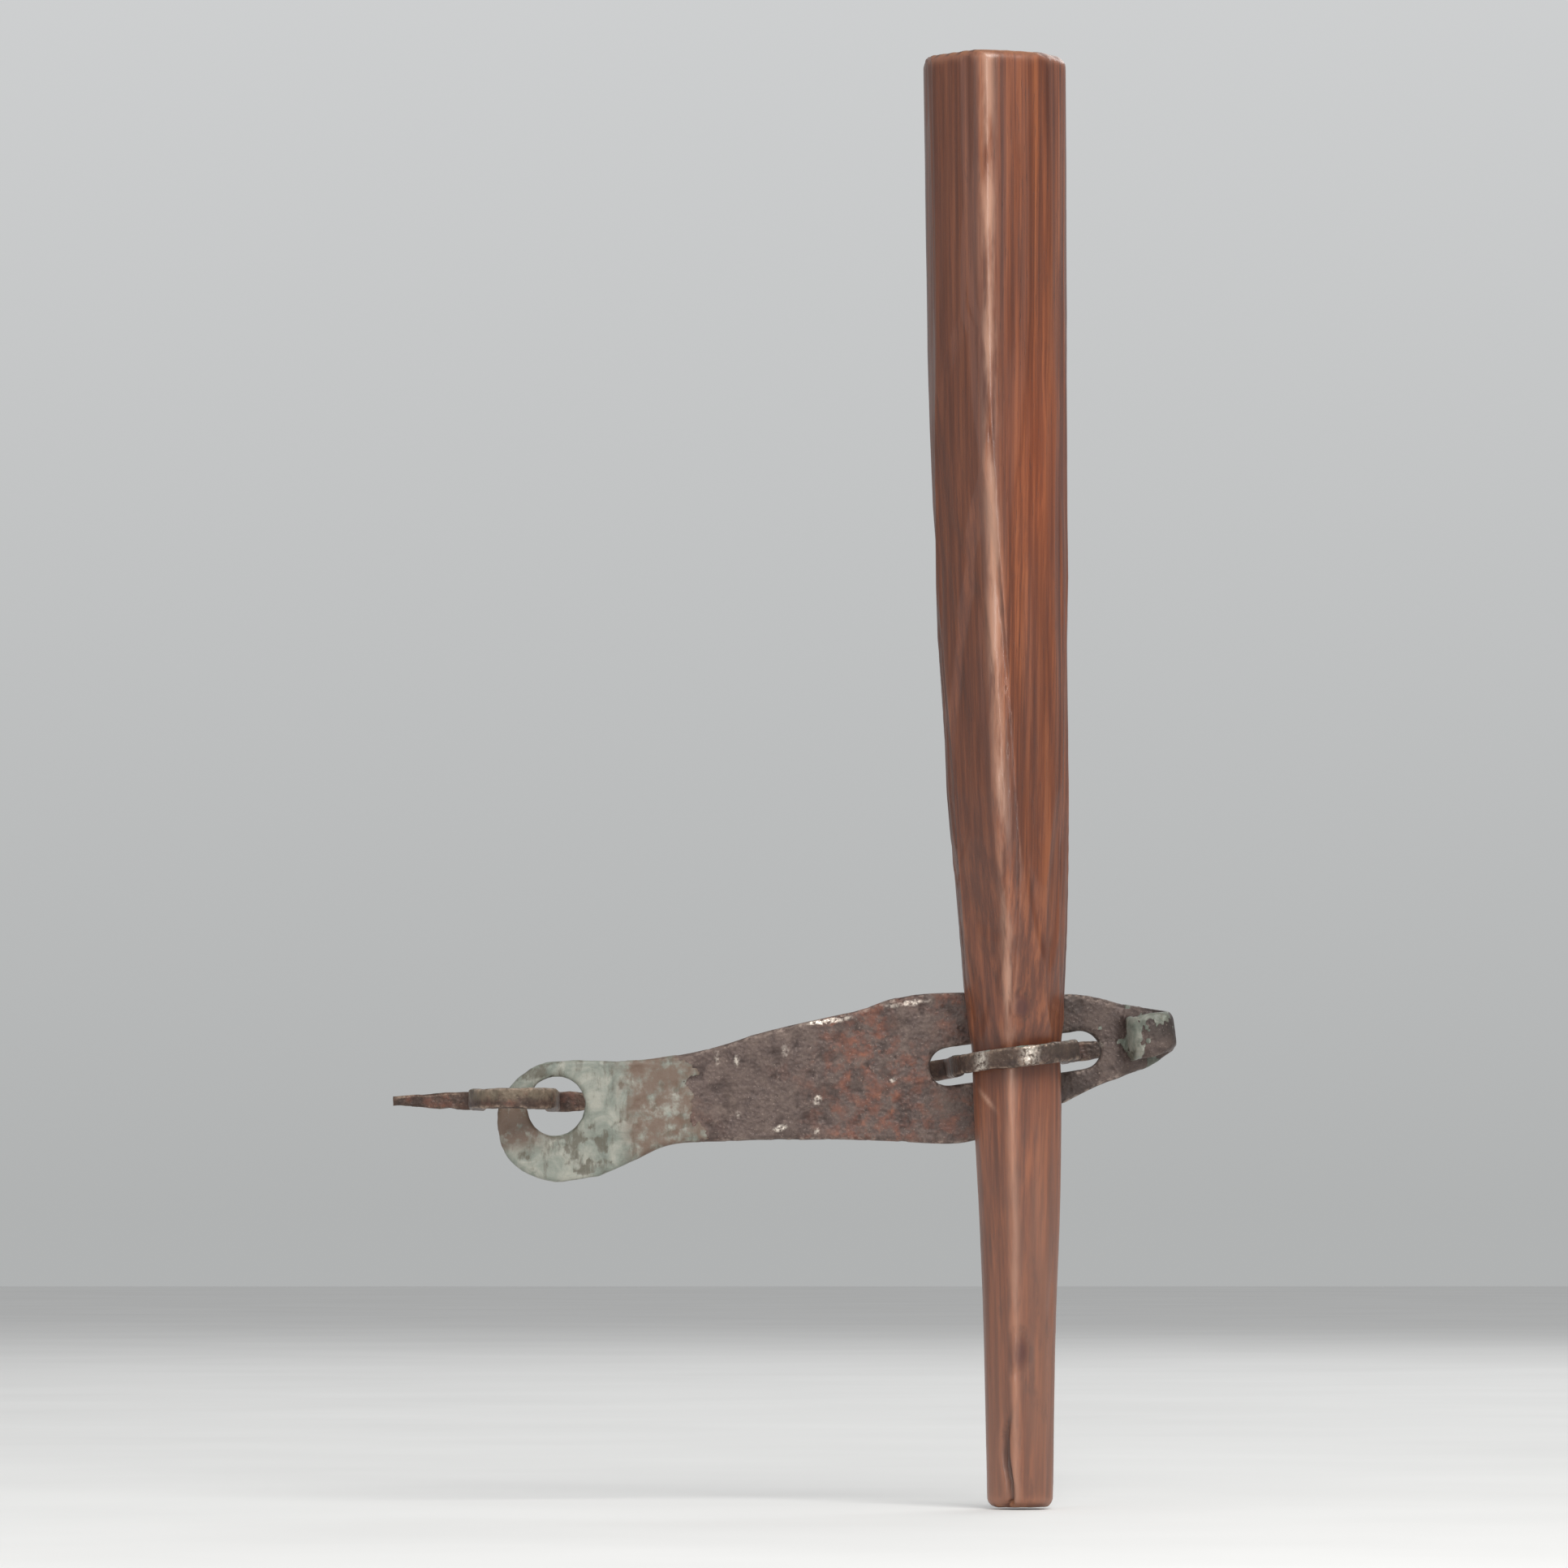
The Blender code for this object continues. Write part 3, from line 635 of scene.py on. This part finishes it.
def iron_material(name, scale, rubbed_colour):
    """Rusted forged iron under worn, flaking paint. The attributes say where each of them shows."""
    shader = Shader(name)
    mottle = shader.noise(3.4, 6, 0.62, 0.6)
    fine = shader.noise(0.55, 4, 0.6)
    speckle = shader.noise(0.28, 2, 0.5)
    colour = shader.ramp(shader.plus(shader.times(mottle, 0.75), shader.times(fine, 0.25)), scale)
    # Powdery orange-brown rust, dark hollows, soot with painted shade and shadow, and dust with a painted lit
    # top.
    rust_share = shader.times(shader.patches("rust", shader.noise(2.2, 5, 0.65), 0.42, 0.62), 0.75)
    colour = shader.mix(rust_share, colour, shader.ramp(shader.noise(1.3, 5, 0.6), RUST))
    colour = shader.tint(colour, shader.attribute("hollow"), 0.55, DARK_PIT)
    colour = shader.tint(colour, shader.attribute("soot_and_shade"), 0.6, SOOT_AND_SHADE)
    colour = shader.tint(colour, shader.patches("dust_and_lit_top", shader.noise(1.6, 5, 0.6), 0.30, 0.55), 0.75, DUST_AND_LIGHT_TONE)
    # Rubbed edges and specks are paler, and some places are rubbed bright.
    edges = shader.times(shader.patches("edge", shader.noise(0.9, 4, 0.7), 0.40, 0.62), 0.85)
    specks = shader.times(shader.fit(speckle, 0.64, 0.74), 0.35)
    colour = shader.mix(shader.math("MAXIMUM", edges, specks), colour, rubbed_colour)
    bright = shader.patches("worn", fine, 0.35, 0.6)
    colour = shader.mix(bright, colour, BRIGHT_IRON)
    # Paint with a ragged edge, dirty in its hollows, with rust bled through it and painted shadow below the
    # pivot staple.
    ragged = shader.times(shader.math("SUBTRACT", shader.noise(0.6, 5, 0.65), 0.5), 0.9)
    painted = shader.fit(shader.plus(shader.attribute("paint"), ragged), 0.46, 0.56)
    paint = shader.ramp(shader.noise(4.2, 6, 0.62, 0.8), PAINT)
    hollows = shader.times(shader.attribute("hollow"), 0.25)
    dirt = shader.fit(shader.plus(shader.noise((1.6, 1.6, 5.0), 5, 0.7), hollows), 0.50, 0.72)
    paint = shader.tint(paint, dirt, 0.85, PAINT_DIRT)
    grime = shader.patches("grimy", shader.noise(1.4, 5, 0.65), 0.30, 0.58)
    paint = shader.tint(paint, grime, 0.75, PAINT_GRIME)
    bled = shader.patches("rust_and_staple_shadow", shader.noise(2.4, 5, 0.6), 0.31, 0.57)
    paint = shader.tint(paint, bled, 0.9, PAINT_RUST_AND_SHADOW)
    colour = shader.mix(painted, colour, paint)
    # The paint stands a little proud of the iron, and its relief is finer than the crust's.
    crust = shader.fit(shader.cells(0.8), 0.1, 0.7)
    iron_height = shader.plus(shader.times(fine, 0.6), shader.times(crust, 0.4))
    paint_height = shader.plus(shader.times(fine, 0.35), 0.9)
    height = shader.blend(painted, shader.times(iron_height, 0.8), paint_height)
    iron_roughness = shader.fit(mottle, 0.3, 0.7, 0.40, 0.68)
    paint_roughness = shader.fit(fine, 0.3, 0.7, 0.42, 0.62)
    roughness = shader.blend(painted, iron_roughness, paint_roughness)
    roughness = shader.blend(shader.times(bright, 0.9), roughness, 0.24)
    metal = shader.blend(bright, shader.blend(rust_share, 0.45, 0.0), 0.95)
    metal = shader.blend(painted, metal, 0.0)
    return shader.finish(base_color=colour, roughness=roughness, metallic=metal,
                         normal=shader.bump(height, 0.22, 0.9))


def ring_share(shader):
    """Where each point of the wood lies in its growth ring, from 0 to 1: its distance from the pith, shaken
    a little and pushed outwards round the knots."""
    noise = shader.node("ShaderNodeTexNoise", {
        "Vector": shader.stretched((16, 16, 95)), "Scale": 1.0, "Detail": 3.0})
    shake = shader.vector("SUBTRACT", noise.outputs["Color"], (0.5, 0.5, 0.5)).outputs[0]
    shake = shader.vector("MULTIPLY", shake, (2.6 * MM, 2.6 * MM, 0)).outputs[0]
    moved = shader.vector("ADD", shader.place, shake).outputs[0]
    flat = shader.vector("MULTIPLY", moved, (1, 1, 0)).outputs[0]
    radius = shader.vector("DISTANCE", flat, (*PITH, 0)).outputs["Value"]
    radius = shader.plus(radius, shader.times(shader.attribute("knot"), 1.6 * MM))
    return shader.math("FRACT", shader.math("DIVIDE", radius, RING_GAP))


def wood_material():
    """Polished red-brown hardwood, cut along its grain, so its growth rings show as long streaks."""
    shader = Shader("peg_hardwood")
    ring = ring_share(shader)
    late = shader.times(shader.fit(ring, 0.35, 0.92), shader.fit(ring, 1.0, 0.93))
    streak = shader.noise((0.9, 0.9, 70), 5, 0.66)
    broad = shader.noise((5.5, 5.5, 60), 3, 0.5)
    tone = shader.plus(shader.times(shader.fit(streak, 0.33, 0.67), 0.55), shader.times(broad, 0.45))
    wood = shader.ramp(tone, GRAIN)
    wood = shader.tint(wood, late, 0.35, LATE_RING)
    wood = shader.tint(wood, shader.attribute("vein"), 0.6, VEIN)
    wood = shader.tint(wood, shader.attribute("heart"), 0.3, HEARTWOOD)
    # Pores: short dark dashes along the grain.
    pores = shader.fit(shader.noise((0.24, 0.24, 4.0), 2, 0.5), 0.62, 0.74)
    wood = shader.tint(wood, pores, 0.5, PORE)
    # Painted shade on the left-facing cut, and darker handled wood where the peg is gripped.
    wood = shader.tint(wood, shader.attribute("shade_and_grip"), 0.6, HANDLED_AND_SHADE)
    # The thin end is drier and greyer, and dirty round the split.
    low = shader.attribute("low")
    wood = shader.mix(shader.times(low, shader.fit(broad, 0.25, 0.75, 0.35, 0.8)), wood, DRIED)
    dirt = shader.patches("low", shader.noise((2.2, 2.2, 9), 5, 0.65), 0.52, 0.72)
    wood = shader.tint(wood, dirt, 0.5, WOOD_DIRT)
    wood = shader.tint(wood, shader.attribute("hollow"), 0.6, WOOD_HOLLOW)
    wood = shader.mix(shader.fit(shader.attribute("knot"), 0.25, 0.9, 0.0, 0.85), wood, KNOT_WOOD)
    wood = shader.tint(wood, shader.attribute("pressed"), 0.45, PRESSED)
    wood = shader.tint(wood, shader.attribute("edge"), 0.32, PALE_EDGE)
    # The front ridge is rubbed pale by hands and carries a painted highlight, and the nick shows fresh wood.
    ridge_wear_and_highlight = shader.patches("ridge_wear_and_highlight", shader.noise((3.0, 3.0, 20), 4, 0.6), 0.34, 0.60)
    wood = shader.tint(wood, shader.math("MAXIMUM", ridge_wear_and_highlight, shader.attribute("nick")), 0.60, PALE_RIDGE_AND_HIGHLIGHT)
    end = shader.attribute("end")
    end_tone = shader.plus(shader.times(late, 0.5), shader.times(shader.noise(0.7, 4, 0.6), 0.5))
    wood = shader.mix(end, wood, shader.ramp(end_tone, END_GRAIN))
    height = shader.plus(shader.times(streak, 0.7), shader.times(shader.math("SUBTRACT", 1.0, pores), 0.3))
    roughness = shader.fit(shader.noise((2.0, 2.0, 22), 4, 0.6), 0.3, 0.7, 0.33, 0.50)
    roughness = shader.blend(shader.times(low, 0.5), roughness, 0.62)
    roughness = shader.blend(end, roughness, 0.85)
    return shader.finish(base_color=wood, roughness=roughness, normal=shader.bump(height, 0.14, 0.7),
                         coat_weight=0.45, coat_roughness=0.2)


def make_pieces():
    """The four visible pieces. Each rides its body in place of its CAD node, and has its material."""
    strap_iron = iron_material("strap_iron", STRAP_SCALE, STRAP_RUBBED)
    bar_iron = iron_material("bar_iron", BAR_SCALE, BAR_RUBBED)
    hasp = make_hasp()
    pivot = make_staple(PIVOT, "pivot_staple_forged", 101, 0.35, 0.9)
    keeper = make_staple(KEEPER, "keeper_staple_forged", 131, 0.12, 0.12, RUBBED_CROWN)
    peg = make_peg()
    pieces = (
        (hasp, HASP, "hasp", "hasp_iron", strap_iron),
        (pivot, PIVOT, "pivot", "staple_iron", bar_iron),
        (keeper, KEEPER, "keeper", "staple_iron", bar_iron),
        (peg, PEG, "peg", "peg_wood", wood_material()),
    )
    for piece, node, body, slot, material in pieces:
        piece.data.materials.clear()
        piece.data.materials.append(material)
        piece.data.shade_smooth()
        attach(piece, body)
        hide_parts(node)


# ---------------------------------------------------------------- studio

# Softboxes: name, azimuth to the right of the front and elevation in degrees, distance, (width, height) and
# power, then the light's colour. Lengths are in metres.
LIGHTS = (("key", 18, 38, 1.5, (0.9, 0.8), 17.0, (1.0, 0.985, 0.96)),
          ("fill", -58, 18, 1.6, (1.0, 1.2), 2.5, (0.94, 0.97, 1.0)),
          ("strip", -2, -2, 1.9, (0.06, 1.7), 9.0, (1, 1, 1)),
          ("rim", 150, 35, 1.6, (1.0, 0.8), 6.0, (1, 1, 1)))

FLOOR_TONES = ((0.3, (0.78, 0.78, 0.77, 1)), (0.7, (0.82, 0.82, 0.81, 1)))

# The backdrop's colours, how high it reaches the upper one, and how strong it is as light and to the eye.
BACKDROP_LOW, BACKDROP_HIGH, BACKDROP_RISE = (0.46, 0.47, 0.47, 1), (0.84, 0.85, 0.86, 1), 0.3
ROOM_LIGHT, BACKDROP_LIGHT = 0.56, 0.95

# The camera: azimuth and elevation in degrees, distance in metres, and how much of the height it covers.
CAMERA_AZIMUTH, CAMERA_ELEVATION = -1.0, -3.0
CAMERA_DISTANCE, CAMERA_COVER = 1.35, 1.09


def direction(azimuth, elevation):
    """The way from the latch for two angles in degrees. Azimuth is to the right of the front."""
    azimuth, elevation = math.radians(azimuth), math.radians(elevation)
    level = math.cos(elevation)
    return Vector((math.sin(azimuth) * level, -math.cos(azimuth) * level, math.sin(elevation)))


def make_floor(low):
    """A pale floor, just under the latch's lowest point."""
    bpy.ops.mesh.primitive_plane_add(size=8.0, location=(0, 0, low - 0.3 * MM))
    floor = bpy.context.object
    floor.name = "floor"
    shader = Shader("pale_floor")
    tone = shader.ramp(shader.noise(90, 3, 0.5), FLOOR_TONES)
    floor.data.materials.append(shader.finish(base_color=tone, roughness=0.9))


def add_light(target, name, azimuth, elevation, distance, size, power, tone):
    """A softbox turned to its target."""
    data = bpy.data.lights.new(name, "AREA")
    data.shape = "RECTANGLE"
    data.size, data.size_y = size
    data.energy = power
    data.color = tone
    light = bpy.data.objects.new(name, data)
    way = direction(azimuth, elevation)
    light.location = target + way * distance
    light.rotation_euler = (-way).to_track_quat("-Z", "Y").to_euler()
    bpy.context.scene.collection.objects.link(light)


def make_world():
    """A pale backdrop, darker towards the floor."""
    world = bpy.data.worlds.new("studio")
    world.use_nodes = True
    sky = world.node_tree
    place = sky.nodes.new("ShaderNodeTexCoord").outputs["Generated"]
    height = sky.nodes.new("ShaderNodeSeparateXYZ")
    tone = sky.nodes.new("ShaderNodeValToRGB")
    sky.links.new(place, height.inputs[0])
    sky.links.new(height.outputs["Z"], tone.inputs["Fac"])
    sky.links.new(tone.outputs[0], sky.nodes["Background"].inputs["Color"])
    tone.color_ramp.elements[0].color = BACKDROP_LOW
    tone.color_ramp.elements[1].color = BACKDROP_HIGH
    tone.color_ramp.elements[1].position = BACKDROP_RISE
    # The room gives the latch less light than the backdrop seems to have, so that its relief shows.
    seen = sky.nodes.new("ShaderNodeLightPath").outputs["Is Camera Ray"]
    strength = sky.nodes.new("ShaderNodeMapRange")
    strength.inputs["To Min"].default_value = ROOM_LIGHT
    strength.inputs["To Max"].default_value = BACKDROP_LIGHT
    sky.links.new(seen, strength.inputs["Value"])
    sky.links.new(strength.outputs[0], sky.nodes["Background"].inputs["Strength"])
    bpy.context.scene.world = world


def make_studio():
    """The floor, the lights and the backdrop."""
    low, high = (Vector(corner) for corner in cad_bounds)
    make_floor(low.z)
    for light in LIGHTS:
        add_light((low + high) / 2, *light)
    make_world()
    bpy.context.scene.view_settings.view_transform = "Standard"


def make_camera():
    """Square on to the latch and a little below its middle, as it is seen on the door."""
    low, high = (Vector(corner) for corner in cad_bounds)
    data = bpy.data.cameras.new("camera")
    data.angle = 2 * math.atan((high.z - low.z) * CAMERA_COVER / 2 / CAMERA_DISTANCE)
    camera = bpy.data.objects.new("camera", data)
    way = direction(CAMERA_AZIMUTH, CAMERA_ELEVATION)
    camera.location = (low + high) / 2 + way * CAMERA_DISTANCE
    camera.rotation_euler = (-way).to_track_quat("-Z", "Y").to_euler()
    bpy.context.scene.collection.objects.link(camera)
    bpy.context.scene.camera = camera


make_camera()
make_pieces()
make_studio()
